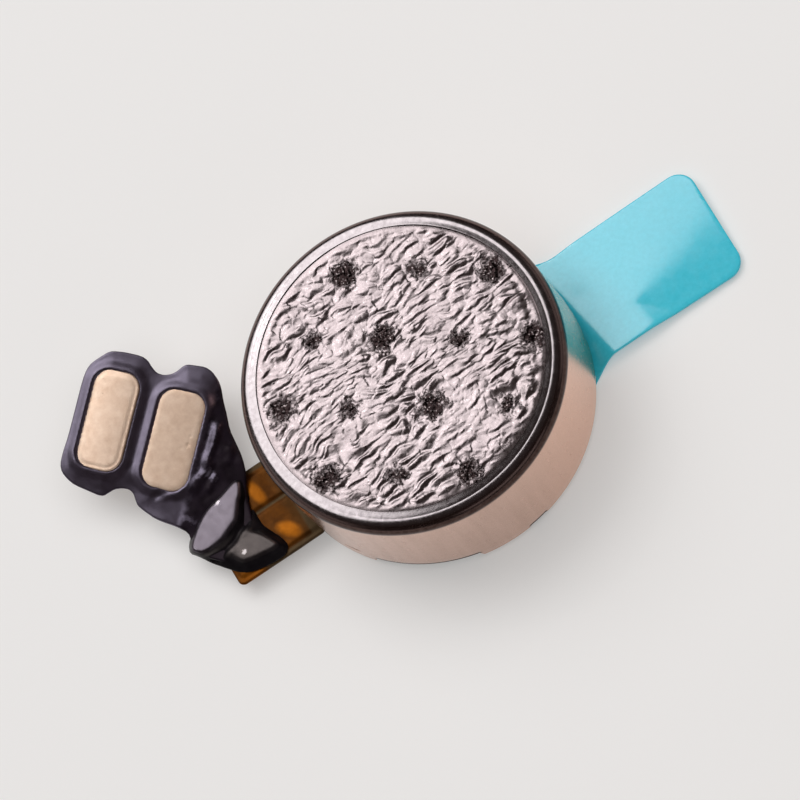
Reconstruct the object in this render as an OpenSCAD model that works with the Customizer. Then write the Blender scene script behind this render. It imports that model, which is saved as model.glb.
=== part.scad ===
// Coin-type vibration motor: a flat brushed motor in a drawn steel cup, with an
// off-centre rotor, a short flexible tail, a folded contact lead with two gold
// pads, and an adhesive base that keeps its release liner and pull tab.
// Millimetres. +Z is up along the shaft. The origin is on the shaft axis at the
// underside of the release liner, which is what the motor rests on.
// +X points along the pull tab, -X along the tail.

/* [Case] */
// Outside diameter of the case cup
case_d = 8; // [8:0.1:9]
// Height of the case from its open edge to the crest of the rim
case_h = 3; // [3:0.05:3.4]
// Thickness of the drawn steel
shell_t = 0.2; // [0.15:0.01:0.22]
// Radius of the shoulder between the wall and the rim
shoulder_r = 0.3; // [0.25:0.01:0.4]
// Depth of the round recess in the crown, below the crest of the rim
recess_d = 0.06; // [0.04:0.01:0.08]

/* [Base] */
// Thickness of the stamped base bracket
bracket_t = 0.2; // [0.15:0.01:0.2]
// Thickness of the adhesive ring under the base
tape_t = 0.12; // [0.08:0.01:0.2]
// Thickness of the release liner film
liner_t = 0.08; // [0.06:0.01:0.1]
// Diameter of the adhesive and liner discs
liner_d = 7.4; // [7:0.1:7.6]

/* [Pull tab] */
// Width of the pull tab
tab_w = 3; // [2:0.1:3.2]
// Reach of the pull tab beyond the case wall
tab_l = 4; // [2.5:0.1:6]
// Corner radius at the free end of the tab
tab_r = 0.45; // [0.1:0.05:0.9]

/* [Motor inside] */
// Diameter of the fixed shaft
shaft_d = 0.7; // [0.6:0.05:0.7]
// Running gap between shaft and bearing, on the radius
bearing_gap = 0.02; // [0.015:0.005:0.03]
// Outside diameter of the ring magnet
magnet_d = 6.4; // [5.8:0.1:6.6]
// Number of commutator segments
segments = 6; // [4:1:12]
// Half angle of the moulded rotor sector
mould_a = 100; // [95:1:120]
// Angle of each coil from the heavy direction
coil_a = 60; // [58:1:64]

/* [Tail] */
// Width of the tail outside the case
tail_w = 2.46; // [2.2:0.02:2.6]
// Reach of the tail beyond the case wall
tail_l = 2.2; // [2:0.05:2.6]

/* [Contact lead] */
// Tilt of the contact head above the base plane, degrees
head_tilt = 12; // [8:1:30]
// Length of each gold contact pad
pad_l = 2.45; // [2:0.05:2.5]
// Width of each gold contact pad
pad_w = 1.2; // [0.9:0.05:1.25]
// Distance between the centres of the two pads
pad_pitch = 1.7; // [1.6:0.02:1.72]
// How far the two pads are staggered along their length
pad_stagger = 0.1; // [0:0.02:0.2]
// Thickness of the lead film
lead_t = 0.1; // [0.08:0.01:0.12]

/* [Hidden] */
case_r = case_d / 2;
lift = tape_t + liner_t;             // height of the case's open edge
inner_r = case_r - shell_t;
crown_z = case_h - recess_d;         // outer face of the crown, case frame
ceil_z = crown_z - shell_t;          // inner face of the crown
film_t = 0.1;
film_z = bracket_t;                  // underside of the motor film
wire_z = film_z + film_t;            // underside of the copper
cover_z = wire_z + 0.03;             // underside of the cover film
lead_z = 0.42;                       // mid plane of the flat lead, and the fold
fold_y = 0.6;                        // the fold runs along X at this Y
dx = case_r - 4;                     // outward shift on a larger case
shaft_r = shaft_d / 2;
brg_r = shaft_r + bearing_gap;
heavy = 90;                          // heavy direction of the rotor at rest
lug_a = [-122, 120, 0];              // middle of each base lug
lug_w = [19, 20.5, 12];              // half width of each lug relief
win_a = 18.5;                        // half angle of the tail window
$fn = 96;

// ---- helpers -------------------------------------------------------------
module on_case() { translate([0, 0, lift]) children(); }

// Pie-shaped prism from angle a1 to a2, less than 180 degrees apart
module wedge(a1, a2, r, z1, z2) {
  am = (a1 + a2) / 2;
  k = r / cos((a2 - a1) / 4);
  translate([0, 0, z1]) linear_extrude(height = z2 - z1)
    polygon([[0, 0], [r * cos(a1), r * sin(a1)],
      [k * cos((a1 + am) / 2), k * sin((a1 + am) / 2)],
      [r * cos(am), r * sin(am)],
      [k * cos((a2 + am) / 2), k * sin((a2 + am) / 2)],
      [r * cos(a2), r * sin(a2)]]);
}

// Flat ring
module ring(r1, r2, z1, z2) {
  translate([0, 0, z1]) difference() {
    cylinder(r = r2, h = z2 - z1);
    translate([0, 0, -1]) cylinder(r = r1, h = z2 - z1 + 2);
  }
}

// Plate with four round corners, from corner p to corner q
module rplate(p, q, r, z1, z2) {
  translate([p[0], p[1] + r, z1]) cube([q[0] - p[0], q[1] - p[1] - 2 * r, z2 - z1]);
  translate([p[0] + r, p[1], z1]) cube([q[0] - p[0] - 2 * r, q[1] - p[1], z2 - z1]);
  for (x = [p[0] + r, q[0] - r], y = [p[1] + r, q[1] - r])
    translate([x, y, z1]) cylinder(r = r, h = z2 - z1, $fn = 32);
}

// ---- case ----------------------------------------------------------------
module case_cover() {
  cr = case_r - shoulder_r;            // radius of the crest of the rim
  color([0.68, 0.60, 0.56]) on_case() difference() {
    rotate_extrude() difference() {
      union() {
        square([case_r, case_h - shoulder_r]);
        translate([cr, case_h - shoulder_r]) intersection() {
          circle(r = shoulder_r);
          square([shoulder_r, shoulder_r]);
        }
        // narrow lip, an annulus that falls gently to it, and the recess for the foil
        polygon([[0, 0], [cr, 0], [cr, case_h], [cr - 0.05, case_h - 0.03],
          [cr - 0.14, case_h - 0.018], [cr - 0.155, crown_z], [0, crown_z]]);
      }
      translate([-1, -1]) square([inner_r - 0.2 + 1, ceil_z + 1]);
      translate([-1, -1]) square([inner_r + 1, ceil_z - 0.2 + 1]);
      translate([inner_r - 0.2, ceil_z - 0.2]) circle(r = 0.2);
    }
    // hole for the top end of the shaft
    translate([0, 0, ceil_z - 1]) cylinder(r = shaft_r + 0.01, h = 2);
    // window for the tail
    wedge(180 - win_a, 180 + win_a, case_r + 1, -1, 0.52);
    // reliefs for the lugs of the base bracket
    for (i = [0 : 2]) wedge(lug_a[i] - lug_w[i], lug_a[i] + lug_w[i], case_r + 1, -1, bracket_t);
    // two shallow forming marks either side of the tail
    for (a = [-148.7, 148.7]) rotate([0, 0, a])
      translate([case_r - 0.05, -0.2, 0.46]) cube([1, 0.4, 0.07]);
  }
}

module base_bracket() {
  color([0.72, 0.70, 0.68]) on_case() difference() {
    union() {
      cylinder(r = inner_r - 0.02, h = bracket_t);
      // lugs that fill the reliefs in the wall, with their edges cut in short flats
      for (i = [0 : 2]) linear_extrude(height = bracket_t - 0.02)
        polygon(concat([[0, 0]], [for (k = [-4 : 4])
          let (a = lug_a[i] + k * (lug_w[i] - 1.5) / 4)
          [(case_r - 0.08) * cos(a), (case_r - 0.08) * sin(a)]]));
      // tongue that carries the root of the tail
      translate([-4.5 - dx, -1, 0]) cube([1.5, 2, bracket_t - 0.02]);
      // drawn boss that grips the shaft
      cylinder(r = shaft_r + 0.35, h = 1.05);
    }
    translate([0, 0, -1]) cylinder(r = shaft_r, h = 3);
  }
}

module shaft() {
  color([0.85, 0.86, 0.88]) on_case() translate([0, 0, 0.02])
    cylinder(r = shaft_r, h = crown_z - 0.06);
}

module lower_washer() { color([0.9, 0.86, 0.6]) on_case() ring(brg_r, 0.66, 1.08, 1.18); }
module upper_washer() { color([0.9, 0.86, 0.6]) on_case() ring(brg_r, 0.8, 2.53, 2.61); }

// ---- stator --------------------------------------------------------------
module magnet_ring() {
  color([0.30, 0.30, 0.32]) on_case() ring(1.95, magnet_d / 2, cover_z + 0.03, 0.95);
}

module motor_film() {
  color([0.78, 0.47, 0.12]) on_case() difference() {
    union() {
      translate([0, 0, film_z]) cylinder(r = 3.4, h = film_t);
      // neck through the case window
      translate([-4.3 - dx, -1, film_z]) cube([1.6 + dx, 2, film_t]);
      rplate([-4 - tail_l - dx, -tail_w / 2], [-4.04 - dx, tail_w / 2], 0.18, film_z, wire_z);
    }
    translate([0, 0, -1]) cylinder(r = shaft_r + 0.4, h = 3);
  }
}

module film_copper() {
  color([0.85, 0.50, 0.25]) on_case() for (s = [-1, 1]) {
    // run from the brush foot out through the neck
    translate([-5.2 - dx, s * 0.7 - 0.17, wire_z]) cube([3.9 + dx, 0.34, 0.03]);
    // landing pad under the brush foot
    translate([-1.5, s * 1.05 - 0.2, wire_z]) cube([0.75, 0.4, 0.03]);
    // solder land on the tail
    rplate([-6.0 - dx, s * 0.62 - 0.42], [-4.55 - dx, s * 0.62 + 0.42], 0.1, wire_z, cover_z);
  }
}

module film_cover() {
  color([0.80, 0.45, 0.10, 0.75]) on_case() difference() {
    union() {
      rplate([-5.1 - dx, -tail_w / 2 + 0.03], [-4.06 - dx, tail_w / 2 - 0.03], 0.16, cover_z, cover_z + 0.03);
      translate([-4.3 - dx, -0.97, cover_z]) cube([1.2 + dx, 1.94, 0.03]);
    }
    // the lead laps over this edge
    translate([-7, -0.6, 0]) cube([2.05, 2.2, 1]);
  }
}

// One leaf brush: foot on the copper, finger rising to the commutator
module leaf_brush() {
  translate([0, 0.9, 0]) rotate([90, 0, 0]) mirror([0, 0, 1])
    linear_extrude(height = 0.3)
      polygon([[-1.42, cover_z], [-0.85, cover_z], [-0.55, 0.55], [0.55, 1.06],
        [0.85, 1.12], [1.1, 1.11], [1.1, 1.16], [0.82, 1.17], [0.5, 1.11],
        [-0.6, 0.60], [-0.88, cover_z + 0.05], [-1.42, cover_z + 0.05]]);
}
module brush_positive() { color([0.90, 0.72, 0.30]) on_case() leaf_brush(); }
module brush_negative() { color([0.90, 0.72, 0.30]) on_case() rotate([0, 0, 180]) leaf_brush(); }

// ---- rotor ---------------------------------------------------------------
module rotor_bearing() {
  color([0.72, 0.52, 0.25]) on_case() ring(brg_r, 0.8, 1.2, 2.5);
}

module rotor_board() {
  color([0.16, 0.40, 0.22]) on_case() difference() {
    union() {
      translate([0, 0, 1.22]) cylinder(r = 1.75, h = 0.14);
      difference() {
        translate([0, 0, 1.22]) cylinder(r = 3.46, h = 0.14);
        wedge(heavy + mould_a - 4, heavy + 360 - mould_a + 4, 6, 1, 2);
      }
    }
    translate([0, 0, 1]) cylinder(r = 0.8, h = 1);
  }
}

module commutator_segments() {
  color([0.92, 0.74, 0.32]) on_case() for (i = [0 : segments - 1])
    rotate([0, 0, i * 360 / segments]) intersection() {
      ring(0.95, 1.65, 1.19, 1.22);
      wedge(-180 / segments + 4, 180 / segments - 4, 3, 1, 2);
    }
}

module coil(a) {
  color([0.80, 0.38, 0.16]) on_case() rotate([0, 0, heavy + a])
    translate([2.3, 0, 0]) ring(0.45, 1.12, 1.37, 2.2);
}
module coil_left() { coil(coil_a); }
module coil_right() { coil(-coil_a); }

module counterweight() {
  color([0.50, 0.50, 0.53]) on_case() intersection() {
    ring(1.75, 3.5, 1.37, 2.45);
    wedge(heavy - 27, heavy + 27, 5, 1, 3);
  }
}

module rotor_mould() {
  color([0.10, 0.10, 0.11]) on_case() difference() {
    union() {
      difference() {
        ring(0.8, 3.48, 1.37, 2.2);
        wedge(heavy + mould_a, heavy + 360 - mould_a, 6, 1, 3);
      }
      ring(0.8, 1.1, 1.37, 2.35);
    }
    for (a = [-coil_a, coil_a]) rotate([0, 0, heavy + a])
      translate([2.3, 0, 1]) cylinder(r = 1.14, h = 2);
    intersection() {
      ring(1.73, 4, 1.3, 3);
      wedge(heavy - 27.5, heavy + 27.5, 5, 1, 3);
    }
  }
}

// ---- skins and adhesive ---------------------------------------------------
module crown_foil() {
  color([0.80, 0.76, 0.76]) on_case() translate([0, 0, crown_z])
    cylinder(r = case_r - 0.48, h = 0.04);
}

module base_adhesive() {
  color([0.93, 0.93, 0.90]) translate([0, 0, liner_t]) cylinder(d = liner_d, h = tape_t);
}

module release_liner() {
  color([0.35, 0.78, 0.85]) {
    cylinder(d = liner_d, h = liner_t);
    // root of the pull tab, ending just before the bend line
    translate([2.8, -tab_w / 2, 0]) cube([1.25 + dx, tab_w, liner_t]);
  }
}

module pull_tab() {
  x1 = case_r + 0.15;
  x2 = case_r + tab_l;
  color([0.35, 0.78, 0.85]) {
    rplate([x1 + 0.5, -tab_w / 2], [x2, tab_w / 2], tab_r, 0, liner_t);
    translate([x1, -tab_w / 2, 0]) cube([1.2, tab_w, liner_t]);
  }
}

// ---- contact lead -----------------------------------------------------------
// Flat end of the lead, glued down over the tail, up to the fold
module lead_root() {
  color([0.10, 0.09, 0.12]) on_case() translate([-dx, 0, lead_z - lead_t / 2])
    linear_extrude(height = lead_t)
      polygon([[-4.66, fold_y - 0.12], [-4.97, 0.2], [-4.94, -0.1], [-5.3, -0.85],
        [-6.1, -0.85], [-6.75, 0.1], [-6.78, fold_y - 0.12]]);
}

module solder_joints() {
  color([0.75, 0.76, 0.78]) on_case() for (y = [-0.52, 0.36])
    translate([-5.55 - dx, y, cover_z]) cylinder(r = 0.2, h = lead_z - lead_t / 2 - cover_z);
}

// Two drops of potting over the joint: a long ridge and a rounder drop
module glue_bead() {
  z = lead_z + lead_t / 2;
  color([0.06, 0.05, 0.07]) on_case() translate([-dx, 0, 0]) intersection() {
    union() {
      hull() {
        translate([-6.35, -0.02, z - 0.05]) sphere(r = 0.26, $fn = 24);
        translate([-5.25, 0.12, z - 0.05]) sphere(r = 0.33, $fn = 24);
      }
      translate([-5.62, -0.42, z - 0.1]) sphere(r = 0.42, $fn = 24);
    }
    translate([-8, -2, z]) cube([5, 3, 1]);
  }
}

// Frame of the contact head: x along the fold, y up the head, z out of its face
module on_head() {
  on_case() translate([-dx, fold_y, lead_z]) rotate([head_tilt, 0, 0]) children();
}
// Frame of the pads, x along a pad, y across the pair
module on_pads() { on_head() translate([-6.24, 2.8, 0]) rotate([0, 0, 43]) children(); }

module lead_head() {
  t = lead_t / 2;
  color([0.13, 0.12, 0.16]) {
    on_pads() {
      // waist between the lobes, then the two lobes
      rplate([-1.44, -1.6], [1.43, 1.7], 0.4, -t, t);
      rplate([-1.75, 0.38], [1.74, 1.73], 0.58, -t, t);
      rplate([-1.95, -1.72], [1.84, -0.45], 0.55, -t, t);
    }
    // crumpled neck from the fold up to the head
    on_head() translate([0, 0, -t]) linear_extrude(height = lead_t)
      polygon([[-4.1, 2.75], [-4.26, 2.3], [-4.42, 1.85], [-4.52, 1.4], [-4.6, 0.8],
        [-4.62, 0.12], [-6.62, 0.12], [-6.78, 0.4], [-7.05, 0.75], [-7.24, 1.2],
        [-6.9, 1.9], [-5.4, 3.2]]);
  }
}

module contact_stiffener() {
  color([0.55, 0.36, 0.12]) on_pads()
    rplate([-1.4, -1.55], [1.4, 1.6], 0.3, -lead_t / 2 - 0.12, -lead_t / 2);
}

module contact_pad(s) {
  color([0.90, 0.78, 0.58]) on_pads() translate([s * pad_stagger / 2, 0, 0])
    rplate([-pad_l / 2, s * pad_pitch / 2 - pad_w / 2], [pad_l / 2, s * pad_pitch / 2 + pad_w / 2],
      0.42, lead_t / 2, lead_t / 2 + 0.03);
}
module contact_pad_positive() { contact_pad(1); }
module contact_pad_negative() { contact_pad(-1); }

// ---- assembly ---------------------------------------------------------------
case_cover();
base_bracket();
shaft();
lower_washer();
upper_washer();
magnet_ring();
motor_film();
film_copper();
film_cover();
brush_positive();
brush_negative();
crown_foil();
base_adhesive();
release_liner();
lead_root();
solder_joints();
glue_bead();
rotor_bearing();
rotor_board();
commutator_segments();
coil_left();
coil_right();
counterweight();
rotor_mould();
pull_tab();
lead_head();
contact_stiffener();
contact_pad_positive();
contact_pad_negative();
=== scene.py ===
import math

import bpy
import numpy as np
from mathutils import Matrix, Vector
from mathutils.geometry import delaunay_2d_cdt


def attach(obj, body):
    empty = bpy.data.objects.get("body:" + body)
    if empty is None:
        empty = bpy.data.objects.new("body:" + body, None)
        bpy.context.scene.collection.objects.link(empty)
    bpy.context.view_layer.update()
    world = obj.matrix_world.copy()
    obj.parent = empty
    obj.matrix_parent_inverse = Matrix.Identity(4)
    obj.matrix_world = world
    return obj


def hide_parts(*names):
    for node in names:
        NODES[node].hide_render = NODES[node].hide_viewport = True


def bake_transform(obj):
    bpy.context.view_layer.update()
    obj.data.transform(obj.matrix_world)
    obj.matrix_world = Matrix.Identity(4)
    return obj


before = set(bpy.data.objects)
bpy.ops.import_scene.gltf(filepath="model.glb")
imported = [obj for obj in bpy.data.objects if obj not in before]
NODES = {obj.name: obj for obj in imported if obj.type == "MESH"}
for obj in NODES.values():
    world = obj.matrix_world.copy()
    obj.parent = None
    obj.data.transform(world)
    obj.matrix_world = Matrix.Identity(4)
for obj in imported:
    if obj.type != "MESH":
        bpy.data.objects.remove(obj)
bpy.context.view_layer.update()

MM = 0.001
LIFT = 0.2          # height of the case's open edge: liner and adhesive under it
SCENE = bpy.context.scene


# ---------------------------------------------------------------- noise --
def smooth(a, b, x):
    t = np.clip((np.asarray(x, float) - a) / (b - a), 0, 1)
    return t * t * (3 - 2 * t)


def value_noise(x, y, seed):
    """Smooth noise from -1 to 1 on a 256 by 256 lattice of seeded values."""
    grid = np.random.default_rng(seed).random((256, 256)) * 2 - 1
    xi, yi = np.floor(x).astype(int), np.floor(y).astype(int)
    fx, fy = x - xi, y - yi
    fx = fx * fx * fx * (fx * (fx * 6 - 15) + 10)
    fy = fy * fy * fy * (fy * (fy * 6 - 15) + 10)
    g = lambda i, j: grid[(xi + i) % 256, (yi + j) % 256]
    return (g(0, 0) * (1 - fx) + g(1, 0) * fx) * (1 - fy) + (g(0, 1) * (1 - fx) + g(1, 1) * fx) * fy


def fbm(x, y, seed, octaves=3, gain=0.5):
    total, amp, norm = 0, 1, 0
    for k in range(octaves):
        total = total + amp * value_noise(x * 2**k + 17.3 * k, y * 2**k - 9.1 * k, seed + k)
        norm += amp
        amp *= gain
    return total / norm


def cells(x, y, seed):
    """Distances to the nearest and second nearest seeded point, and the nearest one's offset and two random numbers."""
    rng = np.random.default_rng(seed)
    px, py, ra, rb = (rng.random((256, 256)) for _ in range(4))
    xi, yi = np.floor(x).astype(int), np.floor(y).astype(int)
    f1 = np.full(x.shape, 9.0)
    f2 = np.full(x.shape, 9.0)
    ox, oy, a, b = (np.zeros(x.shape) for _ in range(4))
    for i in (-1, 0, 1):
        for j in (-1, 0, 1):
            cx, cy = (xi + i) % 256, (yi + j) % 256
            dx = xi + i + 0.1 + 0.8 * px[cx, cy] - x
            dy = yi + j + 0.1 + 0.8 * py[cx, cy] - y
            d = np.hypot(dx, dy)
            near = d < f1
            f2 = np.where(near, f1, np.minimum(f2, d))
            f1 = np.where(near, d, f1)
            ox, oy = np.where(near, dx, ox), np.where(near, dy, oy)
            a, b = np.where(near, ra[cx, cy], a), np.where(near, rb[cx, cy], b)
    return f1, f2, ox, oy, a * 2 - 1, b * 2 - 1


# ------------------------------------------------------------ materials --
class Paint:
    """A Principled material with a few node shortcuts. Texture space is the row frame in millimetres."""

    def __init__(self, name, **fixed):
        self.mat = bpy.data.materials.new(name)
        self.mat.use_nodes = True
        self.tree = self.mat.node_tree
        self.tree.nodes.clear()
        self.out = self.tree.nodes.new("ShaderNodeOutputMaterial")
        self.bsdf = self.tree.nodes.new("ShaderNodeBsdfPrincipled")
        self.tree.links.new(self.bsdf.outputs[0], self.out.inputs["Surface"])
        for key, value in fixed.items():
            self.bsdf.inputs[key.replace("_", " ")].default_value = value
        coord = self.tree.nodes.new("ShaderNodeTexCoord")
        scale = self.tree.nodes.new("ShaderNodeMapping")
        scale.inputs["Scale"].default_value = (1000, 1000, 1000)
        self.tree.links.new(coord.outputs["Object"], scale.inputs["Vector"])
        self.mm = scale.outputs["Vector"]

    def put(self, socket, value):
        if hasattr(value, "links"):
            self.tree.links.new(value, socket)
        else:
            socket.default_value = value

    def drive(self, name, value):
        self.put(self.bsdf.inputs[name], value)

    def stretch(self, x, y, z, rot=0.0):
        n = self.tree.nodes.new("ShaderNodeMapping")
        n.inputs["Scale"].default_value = (x, y, z)
        n.inputs["Rotation"].default_value = (0, 0, math.radians(rot))
        self.put(n.inputs["Vector"], self.mm)
        return n.outputs["Vector"]

    def noise(self, scale, detail=2.0, rough=0.5, vector=None, twist=0.0):
        n = self.tree.nodes.new("ShaderNodeTexNoise")
        n.inputs["Scale"].default_value = scale
        n.inputs["Detail"].default_value = detail
        n.inputs["Roughness"].default_value = rough
        n.inputs["Distortion"].default_value = twist
        self.put(n.inputs["Vector"], vector or self.mm)
        return n.outputs["Fac"]

    def spots(self, scale, vector=None):
        n = self.tree.nodes.new("ShaderNodeTexVoronoi")
        n.inputs["Scale"].default_value = scale
        self.put(n.inputs["Vector"], vector or self.mm)
        return n.outputs["Distance"]

    def axis(self, name):
        n = self.tree.nodes.new("ShaderNodeSeparateXYZ")
        self.put(n.inputs[0], self.mm)
        return n.outputs[name]

    def math(self, op, a, b=0.0, c=0.0):
        n = self.tree.nodes.new("ShaderNodeMath")
        n.operation = op
        for k, v in enumerate((a, b, c)):
            self.put(n.inputs[k], v)
        return n.outputs[0]

    def span(self, value, a, b, lo=0.0, hi=1.0, soft=False):
        n = self.tree.nodes.new("ShaderNodeMapRange")
        n.interpolation_type = "SMOOTHSTEP" if soft else "LINEAR"
        for k, v in enumerate((value, a, b, lo, hi)):
            self.put(n.inputs[k], v)
        return n.outputs[0]

    def ramp(self, fac, *stops):
        n = self.tree.nodes.new("ShaderNodeValToRGB")
        e = n.color_ramp.elements
        while len(e) < len(stops):
            e.new(0.5)
        for k, (at, colour) in enumerate(stops):
            e[k].position = at
            e[k].color = (*colour, 1)
        self.put(n.inputs[0], fac)
        return n.outputs["Color"]

    def blend(self, fac, a, b):
        n = self.tree.nodes.new("ShaderNodeMix")
        n.data_type = "RGBA"
        self.put(n.inputs[0], fac)
        for k, v in ((6, a), (7, b)):
            self.put(n.inputs[k], v if hasattr(v, "links") else (*v, 1))
        return n.outputs[2]

    def segment(self, x, y, ax, ay, bx, by):
        """Distance from (x, y) to a straight line between two points."""
        dx, dy = bx - ax, by - ay
        px, py = self.math("SUBTRACT", x, ax), self.math("SUBTRACT", y, ay)
        t = self.math("ADD", self.math("MULTIPLY", px, dx), self.math("MULTIPLY", py, dy))
        t = self.span(self.math("DIVIDE", t, dx * dx + dy * dy), 0, 1)
        ex = self.math("SUBTRACT", px, self.math("MULTIPLY", t, dx))
        ey = self.math("SUBTRACT", py, self.math("MULTIPLY", t, dy))
        return self.math("SQRT", self.math("ADD", self.math("MULTIPLY", ex, ex), self.math("MULTIPLY", ey, ey)))

    def plane(self, x, y, a, b, c):
        """a x + b y + c"""
        return self.math("ADD", self.math("ADD", self.math("MULTIPLY", x, a), self.math("MULTIPLY", y, b)), c)

    def bump(self, height, depth, strength=1.0):
        """Depth in millimetres for a height that runs from 0 to 1."""
        n = self.tree.nodes.new("ShaderNodeBump")
        n.inputs["Strength"].default_value = strength
        n.inputs["Distance"].default_value = depth * MM
        self.put(n.inputs["Height"], height)
        old = self.bsdf.inputs["Normal"]
        if old.is_linked:
            self.put(n.inputs["Normal"], old.links[0].from_socket)
        self.put(old, n.outputs["Normal"])


def metal(name, dark, light, rough, scale, depth=0.0006, spread=0.06, **more):
    """Plated or raw metal: colour and gloss drift at one scale, with fine grain over it."""
    p = Paint(name, Metallic=1.0, **more)
    drift = p.noise(scale, 3)
    p.drive("Base Color", p.ramp(drift, (0.3, dark), (0.7, light)))
    p.drive("Roughness", p.span(p.noise(scale * 4, 2), 0.3, 0.7, rough - spread, rough + spread))
    p.bump(p.noise(scale * 12, 2), depth)
    return p.mat


def plastic(name, dark, light, rough, scale, depth=0.001, spread=0.06, **more):
    p = Paint(name, **more)
    p.drive("Base Color", p.ramp(p.noise(scale, 3), (0.3, dark), (0.7, light)))
    p.drive("Roughness", p.span(p.noise(scale * 3, 2), 0.3, 0.7, rough - spread, rough + spread))
    p.bump(p.noise(scale * 8, 2), depth)
    return p.mat


def case_steel():
    # nickel-plated drawn steel: warm, faintly streaked wall, shoulder painted near-black as a painted reflection,
    # bright burnished rim
    p = Paint("case_steel", Metallic=1.0)
    z = p.axis("Z")
    streak = p.noise(1.0, 3, vector=p.stretch(5, 5, 0.5))
    warm = p.ramp(streak, (0.25, (0.60, 0.405, 0.325)), (0.75, (0.68, 0.465, 0.38)))
    # painted light: the wall is painted brighter and redder towards +X, standing in for the brighter floor it mirrors
    # on that side
    warm = p.blend(p.span(p.axis("X"), -0.5, 4.2, soft=True), warm, (0.92, 0.575, 0.43))
    brushed = p.noise(1.0, 3, vector=p.stretch(7, 7, 1, 35))
    cool = p.ramp(brushed, (0.3, (0.36, 0.325, 0.335)), (0.7, (0.47, 0.43, 0.44)))
    # painted reflection: the shoulder is painted near-black for the dark surroundings it mirrors, paler towards the
    # crest
    shoulder_shade = p.ramp(p.noise(9, 3), (0.3, (0.040, 0.022, 0.018)), (0.7, (0.080, 0.052, 0.045)))
    shoulder_shade = p.blend(p.span(z, 3.00, 3.12, soft=True), shoulder_shade, (0.20, 0.135, 0.125))
    skin = p.blend(p.span(z, 2.80, 2.905, soft=True), warm, shoulder_shade)
    # two short crimp slits beside the lead side, painted near-black as shade in them
    across = p.math("SQRT", p.math("ADD", p.math("POWER", p.math("ADD", p.axis("X"), 3.418), 2.0),
                                   p.math("POWER", p.math("SUBTRACT", p.math("ABSOLUTE", p.axis("Y")), 2.078), 2.0)))
    slit = p.math("MULTIPLY", p.span(p.math("ABSOLUTE", p.math("SUBTRACT", z, 0.695)), 0.055, 0.030), p.span(across, 0.20, 0.13))
    skin = p.blend(slit, skin, (0.02, 0.012, 0.01))
    # painted shadow: dark along the gap under the edge where the wall is cut short
    az = p.math("ARCTAN2", p.axis("Y"), p.axis("X"))
    gap_shade = None
    for a0, a1, edge in ((-141, -103, 0.40), (99.5, 140.5, 0.40), (-84, -76.5, 0.25)):
        a0, a1 = math.radians(a0), math.radians(a1)
        m = p.math("MULTIPLY", p.span(az, a0 - 0.01, a0 + 0.005), p.span(az, a1 + 0.01, a1 - 0.005))
        m = p.math("MULTIPLY", m, p.span(p.math("ABSOLUTE", p.math("SUBTRACT", z, edge + 0.015)), 0.062, 0.034))
        gap_shade = m if gap_shade is None else p.math("MAXIMUM", gap_shade, m)
    skin = p.blend(gap_shade, skin, (0.035, 0.020, 0.014))
    # painted shade: the wall is darkened low beside the slot, where it stands over the tail
    slot_shade = p.math("MULTIPLY", p.span(p.axis("X"), -3.70, -3.80, soft=True), p.span(z, 1.05, 0.80, soft=True))
    skin = p.blend(slot_shade, skin, (0.13, 0.092, 0.072))
    skin = p.blend(p.span(z, 3.110, 3.150, soft=True), skin, cool)
    p.drive("Base Color", skin)
    rough = p.span(p.noise(7, 3), 0.3, 0.7, 0.20, 0.28)
    p.drive("Roughness", p.math("SUBTRACT", rough, p.span(z, 3.12, 3.16, 0, 0.05)))
    p.bump(p.noise(22, 3), 0.0007)
    p.bump(streak, 0.0012)
    return p.mat


NUBS = [(-5.60, 0.80), (-5.67, -0.64)]
DOTS = [(0.07, 2.83, 1), (0.01, 0.92, 1), (0.16, -1.23, 1), (0.08, -3.18, 0.8), (3.10, 0.81, 1), (3.07, -1.18, 0.9),
        (-2.90, 0.81, 1), (-2.86, -1.27, 1), (1.59, 1.91, 0), (1.58, -0.22, 0), (1.66, -2.28, 0), (-1.40, 1.87, 0),
        (-1.52, -0.14, 0), (-1.39, -2.20, 0)]


def dot_mask(p, grow=0.0):
    """1 on the foil's pressed dots, 0 off them, with a ragged edge."""
    ragged = p.span(p.noise(5.5, 4, 0.7), 0.3, 0.7, -0.19, 0.19)
    best = None
    for dx, dy, big in DOTS:
        n = p.tree.nodes.new("ShaderNodeVectorMath")
        n.operation = "DISTANCE"
        p.put(n.inputs[0], p.flat)
        n.inputs[1].default_value = (dx, dy, 0)
        d = p.math("SUBTRACT", n.outputs["Value"], 0.205 + 0.115 * big + grow)
        best = d if best is None else p.math("MINIMUM", best, d)
    best = p.math("ADD", best, ragged)
    return p.span(best, 0.06, -0.10, soft=True)


def foil_metal():
    # thin bright foil, its faces satin from rolling, duller down in the folds; the pressed dots are coarse and painted
    # near-black as shade in their hollows
    p = Paint("foil", Metallic=1.0)
    flat = p.tree.nodes.new("ShaderNodeVectorMath")
    flat.operation = "MULTIPLY"
    p.put(flat.inputs[0], p.mm)
    flat.inputs[1].default_value = (1, 1, 0)
    p.flat = flat.outputs[0]
    dots = dot_mask(p)
    grain = p.noise(24, 3, 0.6)
    base = p.ramp(p.noise(1.3, 3), (0.3, (0.46, 0.395, 0.405)), (0.7, (0.52, 0.45, 0.46)))
    base = p.blend(p.span(grain, 0.35, 0.65, 0, 0.45), base, (0.40, 0.33, 0.335))
    coarse = p.noise(19, 2, 0.6)
    # painted shade: near-black down in the dots' hollows, foil-coloured on their raised specks
    pit_shade = p.ramp(coarse, (0.585, (0.022, 0.012, 0.012)), (0.70, (0.58, 0.50, 0.50)))
    p.drive("Base Color", p.blend(p.math("MULTIPLY", dots, 0.97), base, pit_shade))
    p.drive("Roughness", p.span(p.noise(11, 3), 0.3, 0.7, 0.23, 0.34))
    p.bump(grain, 0.0020)
    p.bump(p.math("MULTIPLY", coarse, dots), 0.016)
    return p.mat


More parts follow.
